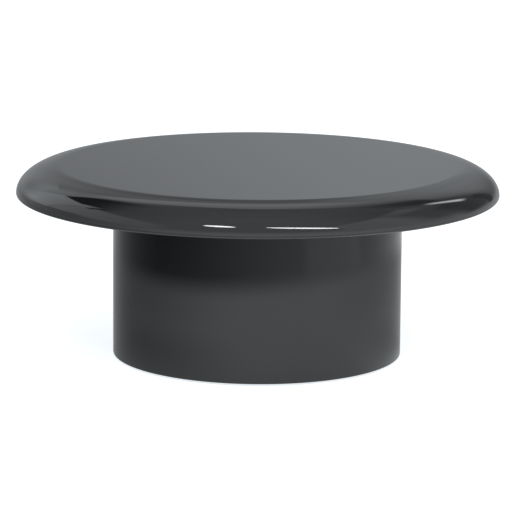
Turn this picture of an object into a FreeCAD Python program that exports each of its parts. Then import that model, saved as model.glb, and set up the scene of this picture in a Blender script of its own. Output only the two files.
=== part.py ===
"""Round cocktail table: a thick lacquered top with a soft upper edge on a wide drum.

The top is a torsion box: a skin, a shaped rim ring, an under panel and a core of hub, spokes and
bolt blocks, glued up and turned to one edge profile.  The drum is a bent wall round two rings and
their posts.  Bolts reached through the open bottom of the drum hold the top, and screw levellers
carry the drum.
Millimetres, +Z up, origin on the floor under the middle of the table.
"""

import FreeCAD
import Part
import math
import os

# Overall sizes
TABLE_HEIGHT = 406.4
TOP_DIAMETER = 1016.0
TOP_THICKNESS = 63.5
BASE_DIAMETER = 609.6
FLOOR_GAP = 4.0

# Edge of the top: a quarter ellipse from the flat to the widest point, and a small round under it
EDGE_RUN = 94.0
NOSE_EASE_RUN = 9.0
NOSE_EASE_RISE = 6.0

# Build-up of the top
TOP_SKIN_THICKNESS = 19.0
UNDER_PANEL_THICKNESS = 12.0
RIM_RING_WIDTH = 108.0
REBATE_WIDTH = 40.0
HUB_DIAMETER = 160.0
SPOKE_COUNT = 6
SPOKE_THICKNESS = 18.0
BOLT_BLOCK_WIDTH = 84.0

# Build-up of the drum
WALL_THICKNESS = 15.0
WALL_EDGE_EASE = 2.5
RING_THICKNESS = 25.0
RING_WIDTH = 100.0
POST_COUNT = 6
POST_WIDTH = 45.0
POST_DEPTH = 40.0

# Bolts, washers and threaded inserts that hold the top to the drum
BOLT_COUNT = 6
BOLT_DIAMETER = 8.0
BOLT_ENGAGEMENT = 16.0
BOLT_HEAD_DIAMETER = 13.0
BOLT_HEAD_HEIGHT = 8.0
BOLT_KEY_SIZE = 6.0
BOLT_KEY_DEPTH = 4.0
BOLT_HOLE_CLEARANCE = 0.5
WASHER_DIAMETER = 24.0
WASHER_THICKNESS = 2.0
INSERT_DIAMETER = 12.0
INSERT_SPARE_DEPTH = 2.0

# Dowels that locate the top on the drum
DOWEL_COUNT = 2
DOWEL_FIRST_ANGLE = 15.0
DOWEL_DIAMETER = 12.0
DOWEL_FLOOR_IN_RING = 5.0
DOWEL_DEPTH_IN_BLOCK = 16.0
DOWEL_CHAMFER = 1.0

# Countersunk screws through the rings into the posts
SCREW_DIAMETER = 5.0
SCREW_LENGTH = 70.0
SCREW_HEAD_DIAMETER = 10.0
SCREW_HEAD_HEIGHT = 2.5
SCREW_TIP_LENGTH = 6.0

# Levellers: a foot pad that holds the button end of a stem, which turns in a flanged nut
LEVELLER_COUNT = 4
LEVELLER_FIRST_ANGLE = 45.0
LEVELLER_TRAVEL = 10.0
PAD_DIAMETER = 44.0
PAD_EDGE_HEIGHT = 3.5
PAD_EASE = 0.8
PAD_CROWN_DIAMETER = 22.0
PAD_FLOOR = 2.0
PAD_LIP = 3.5
BUTTON_DIAMETER = 12.0
BUTTON_HEIGHT = 2.5
NECK_DIAMETER = 7.0
BUTTON_CLEARANCE = 0.08
STEM_DIAMETER = 8.0
STEM_CHAMFER = 1.0
STEM_CLEARANCE = 0.05
COLLAR_SIZE = 14.0
COLLAR_HEIGHT = 5.0
COLLAR_GAP = 1.0
SEAT_GAP = 0.2
NUT_FLANGE_DIAMETER = 24.0
NUT_FLANGE_THICKNESS = 1.5
NUT_BARREL_DIAMETER = 11.0
NUT_BARREL_LENGTH = 20.0

# Levels, from the floor up
button_z = PAD_FLOOR + BUTTON_CLEARANCE
button_top = button_z + BUTTON_HEIGHT
pocket_top = button_top + BUTTON_CLEARANCE
pad_top = pocket_top + PAD_LIP
collar_z = pad_top + COLLAR_GAP
collar_top = collar_z + COLLAR_HEIGHT
nut_z = collar_top + SEAT_GAP
bottom_ring_z = nut_z + NUT_FLANGE_THICKNESS
nut_top = bottom_ring_z + NUT_BARREL_LENGTH
stem_top = nut_top + LEVELLER_TRAVEL
bottom_ring_top = bottom_ring_z + RING_THICKNESS
top_under_z = TABLE_HEIGHT - TOP_THICKNESS
top_ring_z = top_under_z - RING_THICKNESS
core_z = top_under_z + UNDER_PANEL_THICKNESS
skin_z = TABLE_HEIGHT - TOP_SKIN_THICKNESS
nose_z = top_under_z + NOSE_EASE_RISE

# Radii
top_radius = TOP_DIAMETER / 2
flat_radius = top_radius - EDGE_RUN
under_radius = top_radius - NOSE_EASE_RUN
rim_inner_radius = top_radius - RIM_RING_WIDTH
rebate_radius = rim_inner_radius + REBATE_WIDTH
drum_radius = BASE_DIAMETER / 2
drum_inner_radius = drum_radius - WALL_THICKNESS
access_radius = drum_inner_radius - RING_WIDTH
ring_middle_radius = drum_inner_radius - RING_WIDTH / 2
post_radius = drum_inner_radius - POST_DEPTH / 2
hub_radius = HUB_DIAMETER / 2
bolt_hole_radius = BOLT_DIAMETER / 2 + BOLT_HOLE_CLEARANCE

Z_AXIS = FreeCAD.Vector(0, 0, 1)
FULL_TURN = 360.0


def point(radius, z):
    """A point of a turned outline, in the XZ plane."""
    return FreeCAD.Vector(radius, 0, z)


def line(start, end):
    return Part.LineSegment(point(*start), point(*end)).toShape()


def quarter(start, corner, end):
    """A quarter ellipse from start to end, tangent to the lines that meet at corner."""
    curve = Part.BSplineCurve()
    poles = [point(*start), point(*corner), point(*end)]
    curve.buildFromPolesMultsKnots(poles, [3, 3], [0, 1], False, 2, [1, math.sqrt(0.5), 1])
    return curve.toShape()


def turned(edges):
    """The solid swept by a closed outline about the Z axis."""
    face = Part.Face(Part.Wire(edges))
    return face.revolve(FreeCAD.Vector(), Z_AXIS, FULL_TURN)


def turned_polygon(corners):
    closed = corners + corners[:1]
    return turned([line(a, b) for a, b in zip(closed, closed[1:])])


def disc(radius, z, height):
    return Part.makeCylinder(radius, height, point(0, z))


def ring(outer, inner, z, height):
    return disc(outer, z, height).cut(disc(inner, z, height))


def hexagon(across_flats, z, height):
    corner_radius = across_flats / math.sqrt(3)
    corners = [
        FreeCAD.Vector(corner_radius * math.cos(a), corner_radius * math.sin(a), z)
        for a in (math.radians(60 * k) for k in range(7))
    ]
    return Part.Face(Part.makePolygon(corners)).extrude(Z_AXIS * height)


def around(shape, radius, count, first_angle=0.0):
    """Copies of a shape modelled on the Z axis, spaced evenly round a circle."""
    copies = []
    for k in range(count):
        copy = shape.copy()
        copy.translate(point(radius, 0))
        copy.rotate(FreeCAD.Vector(), Z_AXIS, first_angle + k * FULL_TURN / count)
        copies.append(copy)
    return copies


def group(solids):
    return Part.makeCompound(solids)


def cut_all(shape, tools):
    return shape.cut(group(tools))


# Places on the drum: posts start on +X, bolts stand midway between the posts


def bolt_places(shape):
    return around(shape, ring_middle_radius, BOLT_COUNT, FULL_TURN / POST_COUNT / 2)


def dowel_places(shape):
    return around(shape, ring_middle_radius, DOWEL_COUNT, DOWEL_FIRST_ANGLE)


def post_places(shape):
    return around(shape, post_radius, POST_COUNT)


def leveller_places(shape):
    return around(shape, ring_middle_radius, LEVELLER_COUNT, LEVELLER_FIRST_ANGLE)


# Fasteners


def connector_bolt():
    """Socket-head bolt pointing up, its head under the washer below the drum's top ring."""
    shank_z = top_ring_z - WASHER_THICKNESS
    head_z = shank_z - BOLT_HEAD_HEIGHT
    shank_top = core_z + BOLT_ENGAGEMENT
    head = disc(BOLT_HEAD_DIAMETER / 2, head_z, BOLT_HEAD_HEIGHT)
    shank = disc(BOLT_DIAMETER / 2, shank_z, shank_top - shank_z)
    return head.fuse(shank).removeSplitter().cut(hexagon(BOLT_KEY_SIZE, head_z, BOLT_KEY_DEPTH))


def bolt_hole(z, height):
    return disc(bolt_hole_radius, z, height)


def washer():
    return ring(WASHER_DIAMETER / 2, bolt_hole_radius, top_ring_z - WASHER_THICKNESS, WASHER_THICKNESS)


def insert_blank():
    return disc(INSERT_DIAMETER / 2, core_z, BOLT_ENGAGEMENT + INSERT_SPARE_DEPTH)


def threaded_insert():
    return insert_blank().cut(disc(BOLT_DIAMETER / 2, core_z, BOLT_ENGAGEMENT + INSERT_SPARE_DEPTH))


def dowel():
    """Chamfered pin from the drum's top ring through the under panel into a bolt block."""
    radius = DOWEL_DIAMETER / 2
    bottom = top_ring_z + DOWEL_FLOOR_IN_RING
    top = core_z + DOWEL_DEPTH_IN_BLOCK
    tip = radius - DOWEL_CHAMFER
    return turned_polygon([
        (0, bottom), (tip, bottom), (radius, bottom + DOWEL_CHAMFER),
        (radius, top - DOWEL_CHAMFER), (tip, top), (0, top),
    ])


def screw(head_z, direction):
    """Countersunk screw with its head flush at head_z, driven up (1) or down (-1)."""
    head, shank = SCREW_HEAD_DIAMETER / 2, SCREW_DIAMETER / 2
    taper_start = SCREW_LENGTH - SCREW_TIP_LENGTH
    outline = [(0, 0), (head, 0), (shank, SCREW_HEAD_HEIGHT), (shank, taper_start), (0, SCREW_LENGTH)]
    return turned_polygon([(r, head_z + direction * z) for r, z in outline])


def post_screws():
    return post_places(screw(top_under_z, -1)) + post_places(screw(bottom_ring_z, 1))


# The top


def top_blank():
    """The whole top as one turned form, before it is divided into its glued pieces."""
    return turned([
        line((0, top_under_z), (under_radius, top_under_z)),
        quarter((under_radius, top_under_z), (top_radius, top_under_z), (top_radius, nose_z)),
        quarter((top_radius, nose_z), (top_radius, TABLE_HEIGHT), (flat_radius, TABLE_HEIGHT)),
        line((flat_radius, TABLE_HEIGHT), (0, TABLE_HEIGHT)),
        line((0, TABLE_HEIGHT), (0, top_under_z)),
    ])


def top_skin():
    return top_blank().common(disc(top_radius, skin_z, TOP_SKIN_THICKNESS))


def rim_ring():
    body = top_blank().common(disc(top_radius, top_under_z, skin_z - top_under_z))
    core_space = disc(rim_inner_radius, core_z, skin_z - core_z)
    rebate = disc(rebate_radius, top_under_z, UNDER_PANEL_THICKNESS)
    return body.cut(core_space).cut(rebate)


def under_panel():
    panel = disc(rebate_radius, top_under_z, UNDER_PANEL_THICKNESS)
    bolt_holes = bolt_places(bolt_hole(top_under_z, UNDER_PANEL_THICKNESS))
    return cut_all(panel, bolt_holes + dowel_places(dowel()))


def core_hub():
    return disc(hub_radius, core_z, skin_z - core_z)


def core_spokes():
    """Radial spokes that fit between the hub and the rim ring, one above each post."""
    height = skin_z - core_z
    start = point(0, core_z) - FreeCAD.Vector(0, SPOKE_THICKNESS / 2, 0)
    bar = Part.makeBox(top_radius, SPOKE_THICKNESS, height, start)
    spoke = bar.common(ring(rim_inner_radius, hub_radius, core_z, height))
    return around(spoke, 0, SPOKE_COUNT)


def bolt_blocks():
    """Curved blocks between the spokes that take the threaded inserts and the dowels."""
    half_width = BOLT_BLOCK_WIDTH / 2
    outer, inner = ring_middle_radius + half_width, ring_middle_radius - half_width
    band = ring(outer, inner, core_z, skin_z - core_z)
    return cut_all(band, core_spokes() + bolt_places(insert_blank()) + dowel_places(dowel()))


# The drum


def drum_wall():
    """Bent wall with its lower edges eased."""
    bottom, ease = FLOOR_GAP, WALL_EDGE_EASE
    return turned([
        line((drum_inner_radius, top_under_z), (drum_inner_radius, bottom + ease)),
        quarter((drum_inner_radius, bottom + ease), (drum_inner_radius, bottom),
                (drum_inner_radius + ease, bottom)),
        line((drum_inner_radius + ease, bottom), (drum_radius - ease, bottom)),
        quarter((drum_radius - ease, bottom), (drum_radius, bottom), (drum_radius, bottom + ease)),
        line((drum_radius, bottom + ease), (drum_radius, top_under_z)),
        line((drum_radius, top_under_z), (drum_inner_radius, top_under_z)),
    ])


def drum_top_ring():
    body = ring(drum_inner_radius, access_radius, top_ring_z, RING_THICKNESS)
    bolt_holes = bolt_places(bolt_hole(top_ring_z, RING_THICKNESS))
    return cut_all(body, bolt_holes + dowel_places(dowel()) + post_screws())


def drum_bottom_ring():
    body = ring(drum_inner_radius, access_radius, bottom_ring_z, RING_THICKNESS)
    nut_holes = leveller_places(disc(NUT_BARREL_DIAMETER / 2, bottom_ring_z, RING_THICKNESS))
    return cut_all(body, nut_holes + post_screws())


def drum_posts():
    """Posts between the rings, their outer faces curved to the wall."""
    height = top_ring_z - bottom_ring_top
    start = FreeCAD.Vector(drum_inner_radius - POST_DEPTH, -POST_WIDTH / 2, bottom_ring_top)
    post = Part.makeBox(POST_DEPTH, POST_WIDTH, height, start)
    post = post.common(disc(drum_inner_radius, bottom_ring_top, height))
    screws = group(post_screws())
    return [p.cut(screws) for p in around(post, 0, POST_COUNT)]


# The levellers


def leveller_nut():
    """Flanged nut pressed up into the drum's bottom ring."""
    flange = disc(NUT_FLANGE_DIAMETER / 2, nut_z, NUT_FLANGE_THICKNESS)
    barrel = disc(NUT_BARREL_DIAMETER / 2, bottom_ring_z, NUT_BARREL_LENGTH)
    bore = disc(STEM_DIAMETER / 2 + STEM_CLEARANCE, nut_z, nut_top - nut_z)
    return flange.fuse(barrel).cut(bore)


def leveller_pad():
    """Flared foot moulded round the stem's button, with a lip that holds it."""
    foot, crown = PAD_DIAMETER / 2, PAD_CROWN_DIAMETER / 2
    pocket = BUTTON_DIAMETER / 2 + BUTTON_CLEARANCE
    throat = NECK_DIAMETER / 2 + BUTTON_CLEARANCE
    return turned([
        line((0, 0), (foot - PAD_EASE, 0)),
        line((foot - PAD_EASE, 0), (foot, PAD_EASE)),
        line((foot, PAD_EASE), (foot, PAD_EDGE_HEIGHT)),
        quarter((foot, PAD_EDGE_HEIGHT), (crown, PAD_EDGE_HEIGHT), (crown, pad_top)),
        line((crown, pad_top), (throat, pad_top)),
        line((throat, pad_top), (throat, pocket_top)),
        line((throat, pocket_top), (pocket, pocket_top)),
        line((pocket, pocket_top), (pocket, PAD_FLOOR)),
        line((pocket, PAD_FLOOR), (0, PAD_FLOOR)),
        line((0, PAD_FLOOR), (0, 0)),
    ])


def leveller_stem():
    """Button end, neck, spanner collar and threaded shank in one piece."""
    button, neck, shank = BUTTON_DIAMETER / 2, NECK_DIAMETER / 2, STEM_DIAMETER / 2
    pin = turned_polygon([
        (0, button_z), (button, button_z), (button, button_top), (neck, button_top),
        (neck, collar_z), (shank, collar_z), (shank, stem_top - STEM_CHAMFER),
        (shank - STEM_CHAMFER, stem_top), (0, stem_top),
    ])
    return pin.fuse(hexagon(COLLAR_SIZE, collar_z, COLLAR_HEIGHT)).removeSplitter()


def table_nodes():
    """Every piece of the table by name."""
    nodes = {
        "top_skin": top_skin(),
        "rim_ring": rim_ring(),
        "under_panel": under_panel(),
        "core_hub": core_hub(),
        "core_spokes": group(core_spokes()),
        "bolt_blocks": bolt_blocks(),
        "threaded_inserts": group(bolt_places(threaded_insert())),
        "locating_dowels": group(dowel_places(dowel())),
        "connector_bolts": group(bolt_places(connector_bolt())),
        "bolt_washers": group(bolt_places(washer())),
        "drum_wall": drum_wall(),
        "drum_top_ring": drum_top_ring(),
        "drum_bottom_ring": drum_bottom_ring(),
        "drum_posts": group(drum_posts()),
        "post_screws": group(post_screws()),
        "leveller_nuts": group(leveller_places(leveller_nut())),
    }
    pads = leveller_places(leveller_pad())
    stems = leveller_places(leveller_stem())
    for number, (pad, stem) in enumerate(zip(pads, stems), start=1):
        nodes[f"leveller_pad_{number}"] = pad
        nodes[f"leveller_stem_{number}"] = stem
    return nodes


def main():
    os.makedirs("parts", exist_ok=True)
    for name, shape in table_nodes().items():
        shape.exportStep(os.path.join("parts", name + ".step"))
        print(f"{name}: {len(shape.Solids)} solids, valid {shape.isValid()}, {shape.Volume / 1000:.1f} cm3")


main()
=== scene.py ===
"""Round cocktail table: lacquered shells, finishes and fasteners on the CAD frame, in a plain studio.

Metres, +Z up, with the camera on the -Y side.
"""

import math

import bpy
from mathutils import Euler, Matrix, Vector


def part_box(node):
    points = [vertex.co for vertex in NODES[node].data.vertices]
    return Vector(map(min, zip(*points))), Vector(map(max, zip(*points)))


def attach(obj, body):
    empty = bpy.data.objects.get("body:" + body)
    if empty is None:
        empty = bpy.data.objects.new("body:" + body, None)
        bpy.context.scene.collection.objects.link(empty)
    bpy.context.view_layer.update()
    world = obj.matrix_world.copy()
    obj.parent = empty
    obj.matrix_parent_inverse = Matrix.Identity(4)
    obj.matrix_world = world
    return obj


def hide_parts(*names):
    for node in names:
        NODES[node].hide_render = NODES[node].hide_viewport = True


bl_info = {
    "name": "Round Cocktail Table",
    "version": (1, 0, 0),
    "blender": (4, 5, 0),
    "location": "3D View > Sidebar > Table",
    "description": "Dresses a round drum table in gloss lacquer and sets a studio round it",
    "category": "Object",
}

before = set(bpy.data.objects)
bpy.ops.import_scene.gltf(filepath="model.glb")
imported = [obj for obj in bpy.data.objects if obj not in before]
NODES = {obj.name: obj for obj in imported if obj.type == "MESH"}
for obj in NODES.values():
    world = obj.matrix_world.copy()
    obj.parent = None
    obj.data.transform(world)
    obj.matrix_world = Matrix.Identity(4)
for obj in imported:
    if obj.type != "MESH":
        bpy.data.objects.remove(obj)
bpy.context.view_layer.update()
TABLE_BODY = "table"
LEVELLER_NUMBERS = range(1, 5)

# Sizes of the turned shells, read from the solids
RIM_LOW, RIM_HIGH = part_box("rim_ring")
PANEL_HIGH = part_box("under_panel")[1]
WALL_LOW, WALL_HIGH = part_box("drum_wall")
TOP_RADIUS = RIM_HIGH.x
TOP_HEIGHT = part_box("top_skin")[1].z
RIM_INNER_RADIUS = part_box("core_spokes")[1].x
WALL_INNER_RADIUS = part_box("drum_top_ring")[1].x

MILLIMETRE = 0.001
STEM_RADIUS = 4.0 * MILLIMETRE
SCREW_HEAD_RADIUS = 5.0 * MILLIMETRE
SCREW_RADIUS = 2.5 * MILLIMETRE
SCREW_ROOT_RADIUS = 1.75 * MILLIMETRE
SCREWS_IN_RING = 6

# A post screw's shank, head rim and cross as shares of its head's radius, and where its shank ends and
# its core and its thread start as shares of its length
SCREW_SHANK_SHARE = 0.36
SCREW_RIM_SHARE = 0.06
SCREW_CROSS_SHARES = (1.1, 0.24, 0.72)
SCREW_SHANK_END = 0.2
SCREW_CORE_START = 0.22
SCREW_THREAD_START = 0.24

# Circles that outlines are swept on, and how finely the pieces are made
SHELL_TURN_RADIUS = 1.0
PIN_TURN_RADIUS = 0.02
STEM_TURN_STEPS = 48
SCREW_TURN_STEPS = 32
THREAD_TURN_STEPS = 20
RIDGE_SIDES = 3
COLLAR_SIDES = 6
NOSE_STEPS = 12
EASE_STEPS = 8
SEAM_DISTANCE = 0.005 * MILLIMETRE
CRISP_ANGLE = math.radians(30)

# A face is raw where the mark that its points carry is over this share
RAW_SHARE = 0.75

# The range that most of a noise lies in
NOISE_RANGE = (0.3, 0.7)


# Properties


def length(name, description, default):
    return bpy.props.FloatProperty(
        name=name, description=description, default=default, unit="LENGTH", precision=4, min=0.0)


def factor(name, description, default):
    return bpy.props.FloatProperty(
        name=name, description=description, default=default, subtype="FACTOR", min=0.0, max=1.0)


def colour(name, description, default):
    return bpy.props.FloatVectorProperty(
        name=name, description=description, default=default, subtype="COLOR", size=3, min=0.0, max=1.0)


class TableShape(bpy.types.PropertyGroup):
    """Sizes of the turned edges and the threads."""

    edge_run: length("Edge run", "How far the upper edge rounds in from the widest point", 0.094)
    nose_run: length("Nose run", "How far the lower edge rounds in", 0.009)
    nose_rise: length("Nose rise", "Height of the small round under the widest point", 0.006)
    wall_ease: length("Wall ease", "Rounding of the drum's lower edges", 0.0025)
    support: length("Support", "Width of the ring that keeps a flat face flat beside a round", 0.0008)
    arc_steps: bpy.props.IntProperty(
        name="Arc steps", description="Steps in the large round of the top", default=72, min=8)
    turn_steps: bpy.props.IntProperty(
        name="Turn steps", description="Steps round each turned shell", default=288, min=24)
    thread_pitch: length("Thread pitch", "Rise of a leveller's thread in one turn", 0.00125)
    thread_depth: length("Thread depth", "Depth of a leveller's thread", 0.00068)
    button_radius: length("Button radius", "Radius of a stem's button end", 0.006)
    button_height: length("Button height", "Height of a stem's button end", 0.0025)
    neck_radius: length("Neck radius", "Radius of a stem's neck", 0.0035)
    collar_size: length("Collar size", "Spanner size of a stem's collar", 0.014)
    collar_height: length("Collar height", "Height of a stem's collar", 0.005)
    collar_gap: length("Collar gap", "Gap between a stem's collar and its nut", 0.0002)
    screw_length: length("Screw length", "Length of a post screw", 0.070)
    screw_head: length("Screw head", "Height of a post screw's head", 0.0025)
    screw_tip: length("Screw tip", "Length of a post screw's point", 0.006)
    screw_pitch: length("Screw pitch", "Rise of a post screw's thread in one turn", 0.0022)


class TableFinish(bpy.types.PropertyGroup):
    """Colours and surface of the finishes."""

    lacquer: colour("Lacquer", "Body colour of the gloss lacquer", (0.0077, 0.0086, 0.0092))
    lacquer_roughness: factor("Lacquer roughness", "Blur of the gloss", 0.035)
    orange_peel: length("Orange peel", "Depth of the sprayed coat's texture", 0.000004)
    flutes: length("Flutes", "Depth of the faint upright waves in the bent wall", 0.0002)
    sealer: colour("Sealer", "Satin sealer under the top", (0.018, 0.019, 0.020))
    fibreboard: colour("Fibreboard", "Raw board of the core", (0.40, 0.28, 0.17))
    plywood: colour("Plywood", "Birch veneer of the drum", (0.62, 0.45, 0.28))
    pine: colour("Pine", "Posts in the drum", (0.66, 0.46, 0.27))
    beech: colour("Beech", "Dowels", (0.58, 0.38, 0.23))
    zinc: colour("Zinc", "Plated fasteners", (0.56, 0.57, 0.59))
    brass: colour("Brass", "Threaded inserts", (0.72, 0.54, 0.25))
    nylon: colour("Nylon", "Leveller feet", (0.022, 0.022, 0.023))


class TableStudio(bpy.types.PropertyGroup):
    """Camera, floor and light."""

    camera_place: bpy.props.FloatVectorProperty(
        name="Camera", description="Where the camera stands", default=(0.0015, -6.6343, 1.5398),
        subtype="TRANSLATION", unit="LENGTH")
    camera_pitch: bpy.props.FloatProperty(
        name="Pitch", description="How far the camera looks down", default=0.1985, unit="ROTATION")
    camera_roll: bpy.props.FloatProperty(
        name="Roll", description="Tilt of the picture", default=0.0076, unit="ROTATION")
    focal_share: bpy.props.FloatProperty(
        name="Focal share", description="Focal length over the picture's width", default=3200 / 516)
    floor_colour: colour("Floor", "Pale floor", (0.56, 0.54, 0.52))
    floor_glow: bpy.props.FloatVectorProperty(
        name="Floor glow", description="White that the floor shows", default=(0.738, 0.785, 0.818),
        subtype="COLOR", size=3, min=0.0, soft_max=1.0)
    light_tint: bpy.props.FloatVectorProperty(
        name="Light tint", description="Colour of the studio's light", default=(0.96, 1.0, 1.04),
        subtype="COLOR", size=3, min=0.0, soft_max=1.2)
    strip_radiance: bpy.props.FloatProperty(
        name="Strip light", description="Brightness of the two strip lights", default=25.0, min=0.0)


# Node helpers


def add_node(tree, kind, inputs=None, **settings):
    """A new node with its settings; inputs are values or sockets to link, by name or number."""
    node = tree.nodes.new(kind)
    for name, value in settings.items():
        setattr(node, name, value)
    for name, value in (inputs or {}).items():
        if isinstance(value, bpy.types.NodeSocket):
            tree.links.new(value, node.inputs[name])
        else:
            node.inputs[name].default_value = value
    return node


def maths(tree, operation, first, second=0.0):
    return add_node(tree, "ShaderNodeMath", {0: first, 1: second}, operation=operation).outputs[0]


def remap(tree, value, from_low, from_high, to_low=0.0, to_high=1.0, smooth=False):
    kind = "SMOOTHSTEP" if smooth else "LINEAR"
    given = {
        "Value": value, "From Min": from_low, "From Max": from_high,
        "To Min": to_low, "To Max": to_high,
    }
    return add_node(tree, "ShaderNodeMapRange", given, interpolation_type=kind).outputs[0]


def fade(tree, angle, start, end, low=0.0, high=1.0):
    """A smooth change from low to high as an angle goes from start to end, both in degrees."""
    return remap(tree, angle, math.radians(start), math.radians(end), low, high, smooth=True)


def blend_values(tree, share, low, high):
    return add_node(tree, "ShaderNodeMix", {0: share, 2: low, 3: high}).outputs[0]


def blend_colours(tree, share, low, high):
    return add_node(tree, "ShaderNodeMix", {0: share, 6: low, 7: high}, data_type="RGBA").outputs[2]


def opaque(rgb, scale=1.0):
    return tuple(channel * scale for channel in rgb) + (1.0,)


# Finishes


def new_finish(name, rgb, roughness, **sockets):
    """A material with one shader whose even values sit on its own sockets."""
    material = bpy.data.materials.new(name)
    material.use_nodes = True
    tree = material.node_tree
    shader = tree.nodes["Principled BSDF"]
    shader.inputs["Base Color"].default_value = opaque(rgb)
    shader.inputs["Roughness"].default_value = roughness
    for socket, value in sockets.items():
        shader.inputs[socket.replace("_", " ")].default_value = value
    return material, tree, shader


def grain(tree, scale, stretch=(1.0, 1.0, 1.0), detail=3.0):
    """Noise on the piece's own coordinates, drawn out along an axis by a small stretch there."""
    place = add_node(tree, "ShaderNodeTexCoord").outputs["Object"]
    drawn = add_node(tree, "ShaderNodeMapping", {"Vector": place, "Scale": stretch}).outputs[0]
    noise = {"Vector": drawn, "Scale": scale, "Detail": detail}
    return add_node(tree, "ShaderNodeTexNoise", noise).outputs["Fac"]


def tint(tree, shader, share, dark, light):
    tree.links.new(blend_colours(tree, share, dark, light), shader.inputs["Base Color"])


def relief(tree, shader, height, distance):
    bump = add_node(tree, "ShaderNodeBump", {"Height": height, "Distance": distance, "Strength": 1.0})
    tree.links.new(bump.outputs[0], shader.inputs["Normal"])


def vary_roughness(tree, shader, share, low, high):
    tree.links.new(remap(tree, share, *NOISE_RANGE, low, high), shader.inputs["Roughness"])


def gloss_lacquer(name, finish, flutes=0.0):
    """Deep gloss: clouds in the coat, polishing haze, orange peel, and the flutes of a bent wall."""
    rough = finish.lacquer_roughness
    material, tree, shader = new_finish(name, finish.lacquer, rough, IOR=1.5)
    clouds = grain(tree, 7.0, detail=2.0)
    tint(tree, shader, clouds, opaque(finish.lacquer, 0.88), opaque(finish.lacquer, 1.12))
    haze = grain(tree, 26.0, detail=5.0)
    vary_roughness(tree, shader, haze, rough * 0.8, rough * 1.25)
    depth = maths(tree, "MULTIPLY", grain(tree, 420.0, detail=1.0), finish.orange_peel)
    if flutes:
        waves = maths(tree, "MULTIPLY", grain(tree, 40.0, (1.0, 1.0, 0.03), detail=1.0), flutes)
        depth = maths(tree, "ADD", depth, waves)
    relief(tree, shader, depth, 1.0)
    return material


def satin_sealer(finish):
    """Black sealer rolled on board: satin, with a fine stipple."""
    material, tree, shader = new_finish("sealed_board", finish.sealer, 0.45)
    stipple = grain(tree, 900.0, detail=2.0)
    tint(tree, shader, grain(tree, 12.0), opaque(finish.sealer, 0.75), opaque(finish.sealer, 1.3))
    vary_roughness(tree, shader, stipple, 0.38, 0.55)
    relief(tree, shader, stipple, 0.06 * MILLIMETRE)
    return material


def raw_fibreboard(finish):
    material, tree, shader = new_finish("fibreboard", finish.fibreboard, 0.85)
    fibres = grain(tree, 700.0, (1.0, 1.0, 2.0), detail=6.0)
    tint(tree, shader, fibres, opaque(finish.fibreboard, 0.72), opaque(finish.fibreboard, 1.2))
    relief(tree, shader, fibres, 0.12 * MILLIMETRE)
    return material


def long_grain(name, rgb, stretch, roughness=0.55):
    """Planed wood: growth lines drawn out along the grain, and fine pores."""
    material, tree, shader = new_finish(name, rgb, roughness)
    figure = grain(tree, 38.0, stretch, detail=4.0)
    pores = grain(tree, 420.0, stretch, detail=3.0)
    lines = maths(tree, "PINGPONG", maths(tree, "MULTIPLY", figure, 9.0), 1.0)
    share = blend_values(tree, 0.35, lines, pores)
    tint(tree, shader, share, opaque(rgb, 0.74), opaque(rgb, 1.12))
    vary_roughness(tree, shader, pores, roughness * 0.85, roughness * 1.15)
    relief(tree, shader, pores, 0.08 * MILLIMETRE)
    return material


def ring_plywood(finish):
    """Birch plywood: veneer grain on its faces, and plies in turn across its edges."""
    rgb = finish.plywood
    material, tree, shader = new_finish("birch_plywood", rgb, 0.55)
    ply_thickness = 1.4 * MILLIMETRE
    place = add_node(tree, "ShaderNodeTexCoord").outputs["Object"]
    height = add_node(tree, "ShaderNodeSeparateXYZ", {0: place}).outputs["Z"]
    plies = maths(tree, "PINGPONG", maths(tree, "DIVIDE", height, ply_thickness), 1.0)
    plies = remap(tree, plies, 0.42, 0.58, smooth=True)
    facing = add_node(tree, "ShaderNodeNewGeometry").outputs["Normal"]
    rise = add_node(tree, "ShaderNodeSeparateXYZ", {0: facing}).outputs["Z"]
    upright = maths(tree, "ABSOLUTE", rise)
    veneer = remap(tree, grain(tree, 46.0, (0.12, 1.0, 1.0), detail=5.0), 0.32, 0.68)
    share = blend_values(tree, upright, plies, veneer)
    tint(tree, shader, share, opaque(rgb, 0.68), opaque(rgb, 1.1))
    relief(tree, shader, grain(tree, 500.0, (0.2, 1.0, 1.0)), 0.06 * MILLIMETRE)
    return material


def metal(name, rgb, roughness):
    """Plated or turned metal: fine streaks and a slight mottle."""
    material, tree, shader = new_finish(name, rgb, roughness, Metallic=1.0)
    mottle = grain(tree, 300.0, detail=3.0)
    streaks = grain(tree, 900.0, (1.0, 1.0, 6.0), detail=2.0)
    tint(tree, shader, mottle, opaque(rgb, 0.86), opaque(rgb, 1.08))
    vary_roughness(tree, shader, mottle, roughness * 0.75, roughness * 1.3)
    relief(tree, shader, streaks, 0.01 * MILLIMETRE)
    return material


def moulded_nylon(finish):
    material, tree, shader = new_finish("nylon", finish.nylon, 0.5)
    spark = grain(tree, 1600.0, detail=2.0)
    tint(tree, shader, grain(tree, 60.0), opaque(finish.nylon, 0.8), opaque(finish.nylon, 1.25))
    vary_roughness(tree, shader, spark, 0.42, 0.6)
    relief(tree, shader, spark, 0.03 * MILLIMETRE)
    return material


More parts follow.
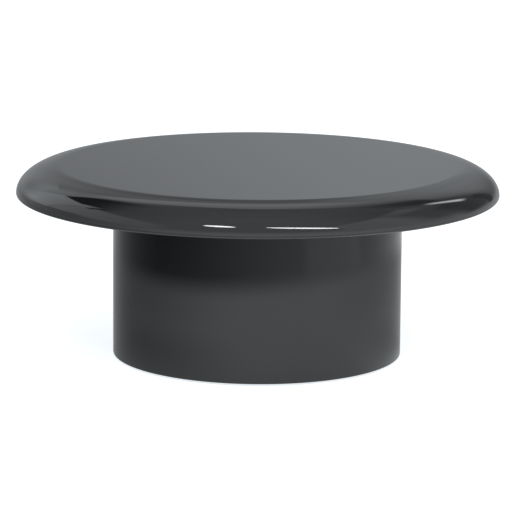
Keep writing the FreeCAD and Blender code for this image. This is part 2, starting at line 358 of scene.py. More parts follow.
def finish_named(context, slot):
    """The material of a record slot, made on first use."""
    material = bpy.data.materials.get(slot)
    if material is not None and material.get("table_finish"):
        return material
    finish = context.scene.table_finish
    makers = {
        "gloss_lacquer": lambda: gloss_lacquer("gloss_lacquer", finish),
        "drum_lacquer": lambda: gloss_lacquer("drum_lacquer", finish, finish.flutes),
        "sealed_board": lambda: satin_sealer(finish),
        "fibreboard": lambda: raw_fibreboard(finish),
        "birch_plywood": lambda: ring_plywood(finish),
        "bent_veneer": lambda: long_grain("bent_veneer", finish.plywood, (1.0, 1.0, 0.06)),
        "pine": lambda: long_grain("pine", finish.pine, (1.0, 1.0, 0.05)),
        "beech": lambda: long_grain("beech", finish.beech, (1.0, 1.0, 0.1)),
        "zinc_steel": lambda: metal("zinc_steel", finish.zinc, 0.32),
        "brass_insert": lambda: metal("brass_insert", finish.brass, 0.28),
        "nylon": lambda: moulded_nylon(finish),
    }
    material = makers[slot]()
    material["table_finish"] = True
    return material


def dress(context, slot, *names):
    """Give CAD nodes the finish of a slot."""
    for name in names:
        materials = NODES[name].data.materials
        materials.clear()
        materials.append(finish_named(context, slot))


# Node trees


def new_tree(name, inputs):
    """A tree with a geometry input and output and the named inputs, given as (name, kind)."""
    tree = bpy.data.node_groups.new(name, "GeometryNodeTree")
    tree.interface.new_socket("Geometry", in_out="INPUT", socket_type="NodeSocketGeometry")
    for label, kind in inputs:
        tree.interface.new_socket(label, in_out="INPUT", socket_type="NodeSocket" + kind)
    tree.interface.new_socket("Geometry", in_out="OUTPUT", socket_type="NodeSocketGeometry")
    return tree, tree.nodes.new("NodeGroupInput").outputs


def close_tree(tree, geometry):
    result = tree.nodes.new("NodeGroupOutput")
    tree.links.new(geometry, result.inputs[0])


def over(tree, value, limit):
    """Whether a value is over a limit."""
    given = {"A": value, "B": limit}
    return add_node(tree, "FunctionNodeCompare", given, operation="GREATER_THAN").outputs[0]


def crisp(tree, geometry):
    """Smooth faces with sharp edges where they meet at more than the crisp angle."""
    faces = {"Geometry": geometry}
    smooth = add_node(tree, "GeometryNodeSetShadeSmooth", faces, domain="FACE").outputs[0]
    turn = add_node(tree, "GeometryNodeInputMeshEdgeAngle").outputs["Unsigned Angle"]
    edges = {"Geometry": smooth, "Selection": over(tree, turn, CRISP_ANGLE), "Shade Smooth": False}
    return add_node(tree, "GeometryNodeSetShadeSmooth", edges, domain="EDGE").outputs[0]


def swept(tree, outline, steps, radius):
    """Sweep an outline mesh once round the Z axis on a circle of the radius, and close its seam."""
    circle = add_node(tree, "GeometryNodeCurvePrimitiveCircle",
                      {"Resolution": steps, "Radius": radius}).outputs["Curve"]
    level = add_node(tree, "GeometryNodeSetCurveNormal", {"Curve": circle}, mode="Z_UP").outputs[0]
    edge = add_node(tree, "GeometryNodeMeshToCurve", {"Mesh": outline}).outputs[0]
    shell = add_node(tree, "GeometryNodeCurveToMesh",
                     {"Curve": level, "Profile Curve": edge}).outputs[0]
    return add_node(tree, "GeometryNodeMergeByDistance",
                    {"Geometry": shell, "Distance": SEAM_DISTANCE}).outputs[0]


def wound_thread(tree, radius, pitch, depth, turns, start):
    """A three-sided ridge wound up round the Z axis, its foot sunk in the shank."""
    rise = maths(tree, "MULTIPLY", pitch, turns)
    coil = add_node(tree, "GeometryNodeCurveSpiral", {
        "Resolution": THREAD_TURN_STEPS, "Rotations": turns,
        "Start Radius": radius, "End Radius": radius, "Height": rise}).outputs[0]
    level = add_node(tree, "GeometryNodeSetCurveNormal", {"Curve": coil}, mode="Z_UP").outputs[0]
    flank = maths(tree, "MULTIPLY", pitch, 0.5)
    shape = add_node(tree, "ShaderNodeCombineXYZ", {"X": depth, "Y": flank, "Z": 1.0}).outputs[0]
    corner = add_node(tree, "GeometryNodeCurvePrimitiveCircle",
                      {"Resolution": RIDGE_SIDES, "Radius": 1.0}).outputs["Curve"]
    ridge = add_node(tree, "GeometryNodeTransform", {"Geometry": corner, "Scale": shape}).outputs[0]
    wound = add_node(tree, "GeometryNodeCurveToMesh",
                     {"Curve": level, "Profile Curve": ridge, "Fill Caps": True}).outputs[0]
    return moved(tree, wound, start)


def moved(tree, geometry, place, turn=(0.0, 0.0, 0.0)):
    return add_node(tree, "GeometryNodeTransform",
                    {"Geometry": geometry, "Translation": place, "Rotation": turn}).outputs[0]


def joined(tree, *parts):
    join = add_node(tree, "GeometryNodeJoinGeometry")
    for part in parts:
        tree.links.new(part, join.inputs[0])
    return join.outputs[0]


def finish_tree(tree, geometry, material):
    """End a tree with real geometry, crisp edges and its material."""
    real = add_node(tree, "GeometryNodeRealizeInstances", {"Geometry": geometry}).outputs[0]
    given = {"Geometry": crisp(tree, real), "Material": material}
    return add_node(tree, "GeometryNodeSetMaterial", given).outputs[0]


def turning_tree():
    """Turns an outline; where its points are marked raw, the raw material shows."""
    tree, given = new_tree("Turned Shell", [
        ("Turn Steps", "Int"), ("Turn Radius", "Float"),
        ("Material", "Material"), ("Raw Material", "Material"),
    ])
    shell = swept(tree, given["Geometry"], given["Turn Steps"], given["Turn Radius"])
    lacquered = finish_tree(tree, shell, given["Material"])
    raw = add_node(tree, "GeometryNodeInputNamedAttribute", {"Name": "raw"}).outputs["Attribute"]
    inside = over(tree, raw, RAW_SHARE)
    close_tree(tree, add_node(tree, "GeometryNodeSetMaterial", {
        "Geometry": lacquered, "Selection": inside, "Material": given["Raw Material"]}).outputs[0])
    return tree


def stem_tree():
    """Turns a stem's outline, slips a spanner collar on it and winds a thread round its shank."""
    tree, given = new_tree("Levelling Stem", [
        ("Turn Steps", "Int"), ("Turn Radius", "Float"), ("Place", "Vector"),
        ("Collar Radius", "Float"), ("Collar Height", "Float"), ("Collar Middle", "Vector"),
        ("Root Radius", "Float"), ("Pitch", "Float"), ("Depth", "Float"), ("Turns", "Float"),
        ("Thread Start", "Vector"), ("Material", "Material"),
    ])
    pin = swept(tree, given["Geometry"], given["Turn Steps"], given["Turn Radius"])
    hexagon = add_node(tree, "GeometryNodeMeshCylinder", {
        "Vertices": COLLAR_SIDES, "Radius": given["Collar Radius"],
        "Depth": given["Collar Height"]}).outputs["Mesh"]
    collar = moved(tree, hexagon, given["Collar Middle"])
    thread = wound_thread(tree, given["Root Radius"], given["Pitch"], given["Depth"], given["Turns"],
                          given["Thread Start"])
    stem = moved(tree, joined(tree, pin, collar, thread), given["Place"])
    close_tree(tree, finish_tree(tree, stem, given["Material"]))
    return tree


def screw_tree():
    """Turns one countersunk screw, cuts a cross in its head, and sets one ring up and one down."""
    tree, given = new_tree("Screw Rings", [
        ("Turn Steps", "Int"), ("Turn Radius", "Float"), ("Count", "Int"), ("Ring Radius", "Float"),
        ("Low Ring", "Vector"), ("High Ring", "Vector"), ("Cross Size", "Vector"),
        ("Root Radius", "Float"), ("Pitch", "Float"), ("Depth", "Float"), ("Turns", "Float"),
        ("Thread Start", "Vector"), ("Material", "Material"),
    ])
    pin = swept(tree, given["Geometry"], given["Turn Steps"], given["Turn Radius"])
    blade = add_node(tree, "GeometryNodeMeshCube", {"Size": given["Cross Size"]}).outputs["Mesh"]
    other = moved(tree, blade, (0.0, 0.0, 0.0), (0.0, 0.0, math.pi / 2))
    cut = add_node(tree, "GeometryNodeMeshBoolean", {"Mesh 1": pin}, operation="DIFFERENCE")
    for tool in (blade, other):
        tree.links.new(tool, cut.inputs["Mesh 2"])
    thread = wound_thread(tree, given["Root Radius"], given["Pitch"], given["Depth"], given["Turns"],
                          given["Thread Start"])
    screw = joined(tree, cut.outputs["Mesh"], thread)
    places = add_node(tree, "GeometryNodeMeshCircle",
                      {"Vertices": given["Count"], "Radius": given["Ring Radius"]}).outputs["Mesh"]
    rings = []
    for place, turn in ((given["Low Ring"], 0.0), (given["High Ring"], math.pi)):
        points = moved(tree, places, place)
        rings.append(add_node(tree, "GeometryNodeInstanceOnPoints", {
            "Points": points, "Instance": screw, "Rotation": (turn, 0.0, 0.0)}).outputs[0])
    close_tree(tree, finish_tree(tree, joined(tree, *rings), given["Material"]))
    return tree


def grown(name, mesh, tree, values):
    """A plain mesh object made by running a tree on a mesh with the named values."""
    piece = bpy.data.objects.new(name, mesh)
    bpy.context.scene.collection.objects.link(piece)
    modifier = piece.modifiers.new(tree.name, "NODES")
    modifier.node_group = tree
    for item in tree.interface.items_tree:
        if item.item_type == "SOCKET" and item.in_out == "INPUT" and item.name in values:
            modifier[item.identifier] = values[item.name]
    evaluated = piece.evaluated_get(bpy.context.evaluated_depsgraph_get())
    result = bpy.data.meshes.new_from_object(evaluated)
    piece.modifiers.clear()
    piece.data = result
    result.name = name
    if len(result.polygons) == 0:
        raise RuntimeError(f"{name} came out empty")
    return piece


# Outlines


def quarter(start, corner, end, steps):
    """Points of a quarter ellipse from start to end, tangent to the lines that meet at corner."""
    start, corner, end = Vector(start), Vector(corner), Vector(end)
    centre = start + end - corner
    turns = [math.pi / 2 * step / steps for step in range(steps + 1)]
    return [tuple(centre + (start - centre) * math.cos(turn) + (end - centre) * math.sin(turn))
            for turn in turns]


def outline_mesh(name, points, raw, closed, turn_radius):
    """Edges through (radius, height) points, shifted for a sweep on a circle of the turn radius."""
    count = len(points)
    edges = [(k, (k + 1) % count) for k in range(count if closed else count - 1)]
    mesh = bpy.data.meshes.new(name + "_outline")
    mesh.from_pydata([(radius - turn_radius, -height, 0.0) for radius, height in points], edges, [])
    marks = mesh.attributes.new("raw", "FLOAT", "POINT")
    marks.data.foreach_set("value", [float(k in raw) for k in range(count)])
    return mesh


def turned_shell(context, name, points, raw, closed, slots):
    """A shell turned from an outline, with one finish on its faces and one on its raw faces."""
    tree = bpy.data.node_groups.get("Turned Shell") or turning_tree()
    outline = outline_mesh(name, points, raw, closed, SHELL_TURN_RADIUS)
    return grown(name, outline, tree, {
        "Turn Steps": context.scene.table_shape.turn_steps,
        "Turn Radius": SHELL_TURN_RADIUS,
        "Material": finish_named(context, slots[0]),
        "Raw Material": finish_named(context, slots[1]),
    })


def top_outline(shape):
    """From the middle of the top over the edge and under it to the hollow for the core."""
    under, support = RIM_LOW.z, shape.support
    flat = TOP_RADIUS - shape.edge_run
    nose = under + shape.nose_rise
    turn_under = TOP_RADIUS - shape.nose_run
    outer = [(0.0, TOP_HEIGHT), (flat - support, TOP_HEIGHT)]
    outer += quarter(
        (flat, TOP_HEIGHT), (TOP_RADIUS, TOP_HEIGHT), (TOP_RADIUS, nose), shape.arc_steps)
    outer += quarter((TOP_RADIUS, nose), (TOP_RADIUS, under), (turn_under, under), NOSE_STEPS)[1:]
    outer += [(turn_under - support, under), (PANEL_HIGH.x, under)]
    hollow = [(PANEL_HIGH.x, PANEL_HIGH.z), (RIM_INNER_RADIUS, PANEL_HIGH.z),
              (RIM_INNER_RADIUS, RIM_HIGH.z), (0.0, RIM_HIGH.z)]
    raw = range(len(outer), len(outer) + len(hollow))
    return outer + hollow, raw


def wall_outline(shape):
    """Round the drum's wall: up the lacquered outside, and down the bare inside."""
    bottom, top, ease, support = WALL_LOW.z, WALL_HIGH.z, shape.wall_ease, shape.support
    outer, inner = WALL_HIGH.x, WALL_INNER_RADIUS
    eased = bottom + ease
    straight = eased + support
    points = quarter((inner, eased), (inner, bottom), (inner + ease, bottom), EASE_STEPS)
    points += quarter((outer - ease, bottom), (outer, bottom), (outer, eased), EASE_STEPS)
    points += [(outer, straight), (outer, top), (inner, top), (inner, straight)]
    raw = [0, len(points) - 2, len(points) - 1]
    return points, raw


# Operators


class TABLE_OT_lacquered_top(bpy.types.Operator):
    """Turn the top's skin and rim as one lacquered shell"""

    bl_idname = "table.lacquered_top"
    bl_label = "Lacquered Top"

    def execute(self, context):
        points, raw = top_outline(context.scene.table_shape)
        finishes = ("gloss_lacquer", "fibreboard")
        top = turned_shell(context, "lacquered_top", points, raw, False, finishes)
        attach(top, TABLE_BODY)
        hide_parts("top_skin", "rim_ring")
        return {"FINISHED"}


class TABLE_OT_lacquered_drum(bpy.types.Operator):
    """Turn the drum's wall, lacquered outside and bare veneer inside"""

    bl_idname = "table.lacquered_drum"
    bl_label = "Lacquered Drum"

    def execute(self, context):
        points, raw = wall_outline(context.scene.table_shape)
        finishes = ("drum_lacquer", "bent_veneer")
        drum = turned_shell(context, "lacquered_drum", points, raw, True, finishes)
        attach(drum, TABLE_BODY)
        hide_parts("drum_wall")
        return {"FINISHED"}


class TABLE_OT_top_core(bpy.types.Operator):
    """Finish the panel, hub, spokes and blocks inside the top"""

    bl_idname = "table.top_core"
    bl_label = "Top Core"

    def execute(self, context):
        dress(context, "sealed_board", "under_panel")
        dress(context, "fibreboard", "core_hub", "core_spokes", "bolt_blocks")
        dress(context, "brass_insert", "threaded_inserts")
        dress(context, "beech", "locating_dowels")
        return {"FINISHED"}


class TABLE_OT_drum_frame(bpy.types.Operator):
    """Finish the rings and posts inside the drum"""

    bl_idname = "table.drum_frame"
    bl_label = "Drum Frame"

    def execute(self, context):
        dress(context, "birch_plywood", "drum_top_ring", "drum_bottom_ring")
        dress(context, "pine", "drum_posts")
        return {"FINISHED"}


def screw_outline(shape):
    """Half of a countersunk screw with its head at height 0 and its point up."""
    head, root, whole = SCREW_HEAD_RADIUS, SCREW_ROOT_RADIUS, shape.screw_length
    shank = SCREW_SHANK_SHARE * head
    return [
        (0.0, 0.0), (head, 0.0), (head, SCREW_RIM_SHARE * head),
        (shank, shape.screw_head), (shank, SCREW_SHANK_END * whole),
        (root, SCREW_CORE_START * whole), (root, whole - shape.screw_tip), (0.0, whole),
    ]


def post_screws(context):
    """Both rings of wood screws that hold the posts, with cross heads and threads."""
    shape = context.scene.table_shape
    low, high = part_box("post_screws")
    thread_start = SCREW_THREAD_START * shape.screw_length
    thread_rise = shape.screw_length - shape.screw_tip - thread_start
    outline = outline_mesh("post_screws", screw_outline(shape), (), False, PIN_TURN_RADIUS)
    return grown("cross_head_screws", outline, screw_tree(), {
        "Turn Steps": SCREW_TURN_STEPS,
        "Turn Radius": PIN_TURN_RADIUS,
        "Count": SCREWS_IN_RING,
        "Ring Radius": high.x - SCREW_HEAD_RADIUS,
        "Low Ring": (0.0, 0.0, low.z),
        "High Ring": (0.0, 0.0, high.z),
        "Cross Size": tuple(share * SCREW_HEAD_RADIUS for share in SCREW_CROSS_SHARES),
        "Root Radius": SCREW_ROOT_RADIUS,
        "Pitch": shape.screw_pitch,
        "Depth": SCREW_RADIUS - SCREW_ROOT_RADIUS,
        "Turns": thread_rise / shape.screw_pitch,
        "Thread Start": (0.0, 0.0, thread_start),
        "Material": finish_named(context, "zinc_steel"),
    })


class TABLE_OT_fasteners(bpy.types.Operator):
    """Make the post screws, and finish the bolts, washers and leveller nuts"""

    bl_idname = "table.fasteners"
    bl_label = "Fasteners"

    def execute(self, context):
        dress(context, "zinc_steel", "connector_bolts", "bolt_washers", "leveller_nuts")
        screws = post_screws(context)
        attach(screws, TABLE_BODY)
        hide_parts("post_screws")
        return {"FINISHED"}


def stem_outline(shape, low, high, collar_low):
    """Half of a stem: button, neck, and a shank cut down to the root of its thread."""
    root = STEM_RADIUS - shape.thread_depth
    button_top = low + shape.button_height
    return [
        (0.0, low), (shape.button_radius, low), (shape.button_radius, button_top),
        (shape.neck_radius, button_top), (shape.neck_radius, collar_low), (root, collar_low),
        (root, high - shape.thread_depth), (root - shape.thread_depth, high), (0.0, high),
    ]


def levelling_stem(context, number, tree):
    """One stem with its button, collar and thread, where its node is."""
    shape = context.scene.table_shape
    low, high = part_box(f"leveller_stem_{number}")
    middle = (low + high) / 2
    collar_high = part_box("leveller_nuts")[0].z - shape.collar_gap
    collar_low = collar_high - shape.collar_height
    name = f"threaded_stem_{number}"
    points = stem_outline(shape, low.z, high.z, collar_low)
    thread_rise = high.z - 2 * shape.thread_depth - collar_high
    return grown(name, outline_mesh(name, points, (), False, PIN_TURN_RADIUS), tree, {
        "Turn Steps": STEM_TURN_STEPS,
        "Turn Radius": PIN_TURN_RADIUS,
        "Place": (middle.x, middle.y, 0.0),
        "Collar Radius": shape.collar_size / math.sqrt(3),
        "Collar Height": shape.collar_height,
        "Collar Middle": (0.0, 0.0, (collar_low + collar_high) / 2),
        "Root Radius": STEM_RADIUS - shape.thread_depth,
        "Pitch": shape.thread_pitch,
        "Depth": shape.thread_depth,
        "Turns": thread_rise / shape.thread_pitch,
        "Thread Start": (0.0, 0.0, collar_high),
        "Material": finish_named(context, "zinc_steel"),
    })


class TABLE_OT_levellers(bpy.types.Operator):
    """Finish the feet and make their threaded stems"""

    bl_idname = "table.levellers"
    bl_label = "Levellers"

    def execute(self, context):
        tree = stem_tree()
        for number in LEVELLER_NUMBERS:
            dress(context, "nylon", f"leveller_pad_{number}")
            stem = levelling_stem(context, number, tree)
            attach(stem, f"leveller_stem_{number}")
            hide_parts(f"leveller_stem_{number}")
        return {"FINISHED"}


# The studio


# Half the floor's width and how far it lies under the feet, and the camera's sensor in millimetres
FLOOR_HALF = 40.0
FLOOR_DROP = 0.3 * MILLIMETRE
SENSOR_WIDTH = 36.0

# Painted reflection of the floor: a glowing sheet just over it, seen in reflections alone, paints shade
# round
# the bright pool in front of the table: its middle, the distances from there at which the pool ends and
# at which the painted shade takes up the brightness of the walls, and both sides of the pool. Each side
# has the azimuths in degrees where the pool starts and where it is full, near the table and further
# off, and the distances between which these change over
REFLECTION_MIDDLE = (0.08, 0.0, 0.0)
POOL_END = (1.12, 1.44)
WALL_FOOT = (1.85, 2.3)
POOL_LEFT = ((-94, 4), (-115, -8), (0.60, 0.85))
POOL_RIGHT = ((107, 56), (136, 42), (0.30, 0.65))

# Levels that change round the table: the middle azimuth, the turns from it where the change starts and
# ends, all in degrees, and the levels at its start and end
HORIZON = (23, 152, 21, 0.40, 1.62)
# Levels of the painted shade in the floor's reflection, near the table and further off, and a lighter
# patch painted into its far part
NEAR_PAINTED_SHADE = (150, 110, 10, 0.36, 0.47)
FAR_PAINTED_SHADE = (105, 190, 45, 0.10, 0.735)
LIGHTER_PAINTED_SHADE = (58, 28, 18, 0.0, 0.22)
FRONT_SHARE = (0, 128, 32, 0.0, 1.0)

# Brightness of the upper studio: behind, between two elevations, and in front, and the elevations
# between which it goes over to the horizon's
BACK_ELEVATIONS = (58.0, 80.0)
BACK_LEVELS = (0.44, 0.71)
FRONT_LEVEL = 0.86
LOW_ELEVATIONS = (23.0, 1.0)


def stage_mesh(name, points, faces, material):
    mesh = bpy.data.meshes.new(name)
    mesh.from_pydata(points, [], faces)
    mesh.materials.append(material)
    piece = bpy.data.objects.new(name, mesh)
    bpy.context.scene.collection.objects.link(piece)
    return piece


def blank_material(name):
    """A material with an empty node tree."""
    material = bpy.data.materials.new(name)
    material.use_nodes = True
    material.node_tree.nodes.clear()
    return material, material.node_tree


def azimuth_of(tree, parts):
    """Azimuth of a vector's parts round the table's axis: 0 in front, and more to the right."""
    return maths(tree, "ARCTAN2", parts["X"], maths(tree, "MULTIPLY", parts["Y"], -1.0))


def plan_direction(tree, middle):
    """Azimuth round the table's axis and distance from a middle, on a stage piece's coordinates."""
    place = add_node(tree, "ShaderNodeTexCoord").outputs["Object"]
    parts = add_node(tree, "ShaderNodeSeparateXYZ", {0: place}).outputs
    ends = {0: place, 1: middle}
    reach = add_node(tree, "ShaderNodeVectorMath", ends, operation="DISTANCE").outputs["Value"]
    return azimuth_of(tree, parts), reach


def turned_from(tree, azimuth, middle):
    """How far an azimuth lies from a middle given in degrees, either way, in radians."""
    apart = maths(tree, "SUBTRACT", azimuth, math.radians(middle))
    limits = {0: apart, 1: math.pi, 2: -math.pi}
    wrapped = add_node(tree, "ShaderNodeMath", limits, operation="WRAP").outputs[0]
    return maths(tree, "ABSOLUTE", wrapped)


def level_round(tree, azimuth, middle, start, end, low, high):
    """A level that changes smoothly as an azimuth turns away from a middle."""
    return fade(tree, turned_from(tree, azimuth, middle), start, end, low, high)


def glowing(tree, rgb, strength):
    given = {"Color": opaque(rgb), "Strength": strength}
    return add_node(tree, "ShaderNodeEmission", given).outputs[0]


def end_partly_clear(tree, share, surface):
    """End a material's tree with a surface that is clear where the share is 1."""
    clear = add_node(tree, "ShaderNodeBsdfTransparent").outputs[0]
    mixed = add_node(tree, "ShaderNodeMixShader", {0: share, 1: surface, 2: clear}).outputs[0]
    add_node(tree, "ShaderNodeOutputMaterial", {"Surface": mixed})


def floor_finish(studio):
    """Pale floor that shows white, keeps soft shadows and is open to a view from below."""
    material, tree = blank_material("pale_floor")
    rays = add_node(tree, "ShaderNodeLightPath").outputs
    seen = maths(tree, "MAXIMUM", rays["Is Camera Ray"], rays["Is Glossy Ray"])
    seen = maths(tree, "MAXIMUM", seen, rays["Is Transmission Ray"])
    glow = glowing(tree, studio.floor_glow, seen)
    matt = add_node(tree, "ShaderNodeBsdfDiffuse", {"Color": opaque(studio.floor_colour)}).outputs[0]
    lit = add_node(tree, "ShaderNodeAddShader", {0: glow, 1: matt}).outputs[0]
    below = add_node(tree, "ShaderNodeNewGeometry").outputs["Backfacing"]
    end_partly_clear(tree, below, lit)
    return material


def painted_reflection_finish(studio):
    """Painted reflection: a glowing sheet of painted shade round the bright pool of floor in front of
    the table, darkest on its left.
    """
    material, tree = blank_material("painted_floor_reflection")
    azimuth, reach = plan_direction(tree, REFLECTION_MIDDLE)
    ring = remap(tree, reach, *POOL_END, smooth=True)
    beyond = remap(tree, reach, *WALL_FOOT, smooth=True)
    sides = []
    for near, far, change in (POOL_LEFT, POOL_RIGHT):
        further = remap(tree, reach, *change)
        near_side = fade(tree, azimuth, *near)
        sides.append(blend_values(tree, further, near_side, fade(tree, azimuth, *far)))
    front = maths(tree, "MULTIPLY", *sides)
    pool = maths(tree, "MULTIPLY", front, maths(tree, "SUBTRACT", 1.0, ring))
    near_level = level_round(tree, azimuth, *NEAR_PAINTED_SHADE)
    far_level = level_round(tree, azimuth, *FAR_PAINTED_SHADE)
    far_level = maths(tree, "ADD", far_level, level_round(tree, azimuth, *LIGHTER_PAINTED_SHADE))
    level = blend_values(tree, ring, near_level, far_level)
    level = blend_values(tree, beyond, level, level_round(tree, azimuth, *HORIZON))
    # Outside the pool the sheet glows at the painted shade's level; over the pool it is clear, so the
    # real floor shows
    end_partly_clear(tree, pool, glowing(tree, studio.light_tint, level))
    return material


def set_floor(studio):
    """The floor just under the feet, and just over it a glowing sheet of painted reflection, which
    shows in reflections alone.
    """
    half = FLOOR_HALF
    corners = [(-half, -half), (half, -half), (half, half), (-half, half)]
    face = [(0, 1, 2, 3)]
    floor_points = [(x, y, -FLOOR_DROP) for x, y in corners]
    sheet_points = [(x, y, FLOOR_DROP) for x, y in corners]
    stage_mesh("floor", floor_points, face, floor_finish(studio))
    reflection_sheet = stage_mesh("painted_floor_reflection", sheet_points, face, painted_reflection_finish(studio))
    # The painted reflection sheet is hidden from the camera, diffuse and transmission rays and shadows,
    # so only glossy reflections show its painted shade
    reflection_sheet.visible_camera = False
    reflection_sheet.visible_diffuse = False
    reflection_sheet.visible_transmission = False
    reflection_sheet.visible_shadow = False


PANEL_LABELS = (
    "Facing", "Left", "Right", "Low", "High",
    "Left Softness", "Right Softness", "Foot Softness", "Head Softness",
)

# Walls and panels of the studio, painted in this order: the way each faces in degrees, its left, right,
# low and high edges in units of its distance, the softness of each of these edges, and its brightness
STUDIO_PANELS = {
    "dark corner": (-139, -0.33, 0.60, 0.69, 1.34, 0.11, 0.20, 0.02, 0.36, 0.0),
    "left back wall": (-100, -1.50, -0.36, 0.17, 1.008, 1.10, 0.05, 0.15, 0.025, 1.30),
    "left wall": (-100, -0.36, 1.26, 0.285, 1.02, 0.06, 0.31, 0.09, 0.05, 1.12),
    "left gap": (-114, -0.05, 0.06, 0.87, 1.10, 0.02, 0.03, 0.03, 0.05, 0.12),
    "left skirting": (-60, -4.0, -0.70, -0.10, 0.45, 1.5, 0.20, 0.05, 0.05, 0.52),
    "left pier": (-75, -1.31, -0.90, 1.15, 1.50, 0.025, 0.10, 0.07, 0.03, 1.25),
    "left back shelf": (159, 0.84, 1.35, 0.68, 1.218, 0.22, 0.04, 0.20, 0.04, 0.80),
    "left back shade": (-157, -0.18, 0.19, 0.05, 0.38, 0.10, 0.18, 0.08, 0.15, 0.49),
    "back strip": (190, -0.41, 0.19, 0.735, 1.45, 0.20, 0.09, 0.08, 0.06, 1.0),
    "back strip end": (145, 0.70, 1.60, 1.777, 2.60, 0.10, 0.15, 0.08, 0.30, 0.44),
    "back shade": (178, -0.03, 0.16, 0.21, 0.53, 0.05, 0.08, 0.12, 0.09, 0.23),
    "right shade": (137, -0.40, 0.63, 0.04, 0.86, 0.15, 0.19, 0.11, 0.12, 0.21),
    "right dark": (148, -0.14, 0.18, 0.80, 1.30, 0.08, 0.07, 0.03, 0.35, 0.12),
    "right wall": (94, -1.30, -0.10, 0.17, 1.37, 0.18, 0.18, 0.06, 0.04, 1.22),
    "right ledge": (104, -0.28, 0.45, 1.15, 1.50, 0.10, 0.10, 0.11, 0.05, 0.80),
    "right back wall": (163, -0.21, 0.17, 0.27, 0.80, 0.12, 0.12, 0.25, 0.06, 0.63),
    "right post": (145, -0.065, 0.065, 0.0, 0.45, 0.03, 0.03, 0.03, 0.04, 0.12),
    "right strip": (140, -0.05, 0.04, 0.56, 0.93, 0.03, 0.03, 0.06, 0.07, 3.8),
    "back glow": (183, -0.16, -0.03, 0.15, 0.212, 0.07, 0.07, 0.10, 0.028, 0.54),
}

# Directions that face away from a panel count as far out to its side
LEAST_FORWARD = 0.001


def panel_group():
    """Node group: a soft-edged rectangle on a wall round the table, as a mask over directions."""
    tree = bpy.data.node_groups.new("Wall Panel", "ShaderNodeTree")
    tree.interface.new_socket("Direction", in_out="INPUT", socket_type="NodeSocketVector")
    for label in PANEL_LABELS:
        tree.interface.new_socket(label, in_out="INPUT", socket_type="NodeSocketFloat")
    tree.interface.new_socket("Mask", in_out="OUTPUT", socket_type="NodeSocketFloat")
    given = tree.nodes.new("NodeGroupInput").outputs
    turn = maths(tree, "RADIANS", maths(tree, "MULTIPLY", given["Facing"], -1.0))
    turned = {"Vector": given["Direction"], "Angle": turn}
    faced = add_node(tree, "ShaderNodeVectorRotate", turned, rotation_type="Z_AXIS").outputs[0]
    parts = add_node(tree, "ShaderNodeSeparateXYZ", {0: faced}).outputs
    forward = maths(tree, "MULTIPLY", parts["Y"], -1.0)
    forward = maths(tree, "MAXIMUM", forward, LEAST_FORWARD)
    across = maths(tree, "DIVIDE", parts["X"], forward)
    up = maths(tree, "DIVIDE", parts["Z"], forward)
    edges = (
        (across, given["Left"], given["Left Softness"]),
        (given["Right"], across, given["Right Softness"]),
        (up, given["Low"], given["Foot Softness"]),
        (given["High"], up, given["Head Softness"]),
    )
    mask = 1.0
    for inner, outer, soft in edges:
        margin = maths(tree, "SUBTRACT", inner, outer)
        inside = remap(tree, margin, maths(tree, "MULTIPLY", soft, -1.0), soft, smooth=True)
        mask = maths(tree, "MULTIPLY", inside, mask)
    result = tree.nodes.new("NodeGroupOutput")
    tree.links.new(mask, result.inputs[0])
    return tree


def set_world(studio):
    """A studio lighter in front than behind, with its walls and panels as soft patches."""
    world = bpy.data.worlds.new("studio")
    bpy.context.scene.world = world
    world.use_nodes = True
    tree = world.node_tree
    tree.nodes.clear()
    direction = add_node(tree, "ShaderNodeTexCoord").outputs["Generated"]
    parts = add_node(tree, "ShaderNodeSeparateXYZ", {0: direction}).outputs
    elevation = maths(tree, "DEGREES", maths(tree, "ARCSINE", parts["Z"]))
    azimuth = azimuth_of(tree, parts)
    behind = remap(tree, elevation, *BACK_ELEVATIONS, *BACK_LEVELS)
    front = level_round(tree, azimuth, *FRONT_SHARE)
    level = blend_values(tree, front, behind, FRONT_LEVEL)
    low = remap(tree, elevation, *LOW_ELEVATIONS, smooth=True)
    level = blend_values(tree, low, level, level_round(tree, azimuth, *HORIZON))
    group = panel_group()
    for *edges, brightness in STUDIO_PANELS.values():
        panel = add_node(tree, "ShaderNodeGroup", node_tree=group)
        tree.links.new(direction, panel.inputs["Direction"])
        for label, value in zip(PANEL_LABELS, edges):
            panel.inputs[label].default_value = value
        level = blend_values(tree, panel.outputs[0], level, brightness)
    light = {"Color": opaque(studio.light_tint), "Strength": level}
    sky = add_node(tree, "ShaderNodeBackground", light).outputs[0]
    add_node(tree, "ShaderNodeOutputWorld", {"Surface": sky})


# Strip lights over the front of the table: both ends, and the width
STRIP_LIGHTS = {
    "strip_light_left": ((-1.24, -2.36, 2.76), (-0.56, -2.80, 2.76), 0.38),
    "strip_light_right": ((0.22, -2.84, 2.76), (2.90, -3.635, 2.76), 0.38),
}


def set_strip(name, start, end, width, radiance):
    """An elliptical lamp between two points that faces the table's front edge."""
    start, end = Vector(start), Vector(end)
    middle = (start + end) / 2
    target = Vector((0.0, -TOP_RADIUS, TOP_HEIGHT))
    lamp = bpy.data.lights.new(name, "AREA")
    lamp.shape = "ELLIPSE"
    lamp.size = (end - start).length
    lamp.size_y = width
    # Energy is radiance times pi times the ellipse's area
    lamp.energy = radiance * math.pi ** 2 / 4 * lamp.size * lamp.size_y
    along = (end - start).normalized()
    back = (middle - target).normalized()
    across = back.cross(along).normalized()
    back = along.cross(across)
    turn = Matrix((along, across, back)).transposed()
    strip = bpy.data.objects.new(name, lamp)
    strip.matrix_world = Matrix.Translation(middle) @ turn.to_4x4()
    strip.visible_camera = False
    bpy.context.scene.collection.objects.link(strip)


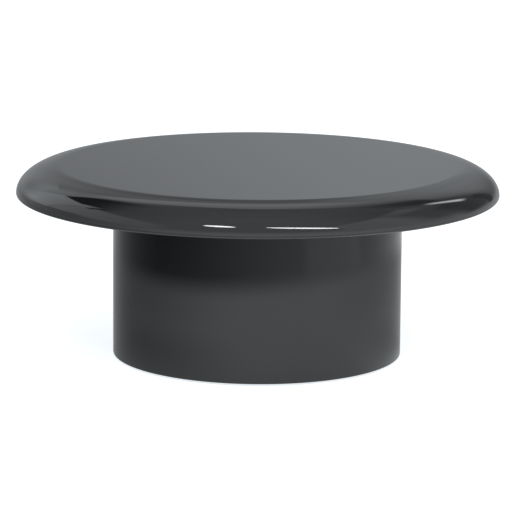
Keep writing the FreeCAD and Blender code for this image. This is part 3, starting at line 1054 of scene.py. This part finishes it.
def set_camera(studio):
    camera = bpy.data.cameras.new("camera")
    camera.sensor_width = SENSOR_WIDTH
    camera.lens = camera.sensor_width * studio.focal_share
    mount = bpy.data.objects.new("camera", camera)
    look = Euler((math.pi / 2 - studio.camera_pitch, 0.0, 0.0)).to_matrix()
    turn = look @ Matrix.Rotation(studio.camera_roll, 3, "Z")
    mount.matrix_world = Matrix.Translation(Vector(studio.camera_place)) @ turn.to_4x4()
    bpy.context.scene.collection.objects.link(mount)
    bpy.context.scene.camera = mount


class TABLE_OT_studio(bpy.types.Operator):
    """Set the floor, the light and the camera"""

    bl_idname = "table.studio"
    bl_label = "Studio"

    def execute(self, context):
        studio = context.scene.table_studio
        context.scene.view_settings.view_transform = "Standard"
        set_floor(studio)
        set_world(studio)
        for name, (start, end, width) in STRIP_LIGHTS.items():
            set_strip(name, start, end, width, studio.strip_radiance)
        set_camera(studio)
        return {"FINISHED"}


BUILD_STEPS = (
    TABLE_OT_lacquered_top, TABLE_OT_lacquered_drum, TABLE_OT_top_core, TABLE_OT_drum_frame,
    TABLE_OT_fasteners, TABLE_OT_levellers, TABLE_OT_studio,
)


class TABLE_PT_panel(bpy.types.Panel):
    """The table's pieces and sizes"""

    bl_idname = "TABLE_PT_panel"
    bl_label = "Round Cocktail Table"
    bl_space_type = "VIEW_3D"
    bl_region_type = "UI"
    bl_category = "Table"

    def draw(self, context):
        column = self.layout.column()
        for step in BUILD_STEPS:
            column.operator(step.bl_idname)
        for group in SETTINGS:
            settings = getattr(context.scene, group)
            for name in settings.bl_rna.properties.keys():
                if name not in {"rna_type", "name"}:
                    column.prop(settings, name)


SETTINGS = {"table_shape": TableShape, "table_finish": TableFinish, "table_studio": TableStudio}
CLASSES = (*SETTINGS.values(), *BUILD_STEPS, TABLE_PT_panel)


def register():
    for item in CLASSES:
        bpy.utils.register_class(item)
    for name, group in SETTINGS.items():
        setattr(bpy.types.Scene, name, bpy.props.PointerProperty(type=group))


def unregister():
    for name in SETTINGS:
        delattr(bpy.types.Scene, name)
    for item in reversed(CLASSES):
        bpy.utils.unregister_class(item)


def main():
    register()
    bpy.ops.table.lacquered_top()
    bpy.ops.table.lacquered_drum()
    bpy.ops.table.top_core()
    bpy.ops.table.drum_frame()
    bpy.ops.table.fasteners()
    bpy.ops.table.levellers()
    bpy.ops.table.studio()


if __name__ == "__main__":
    main()
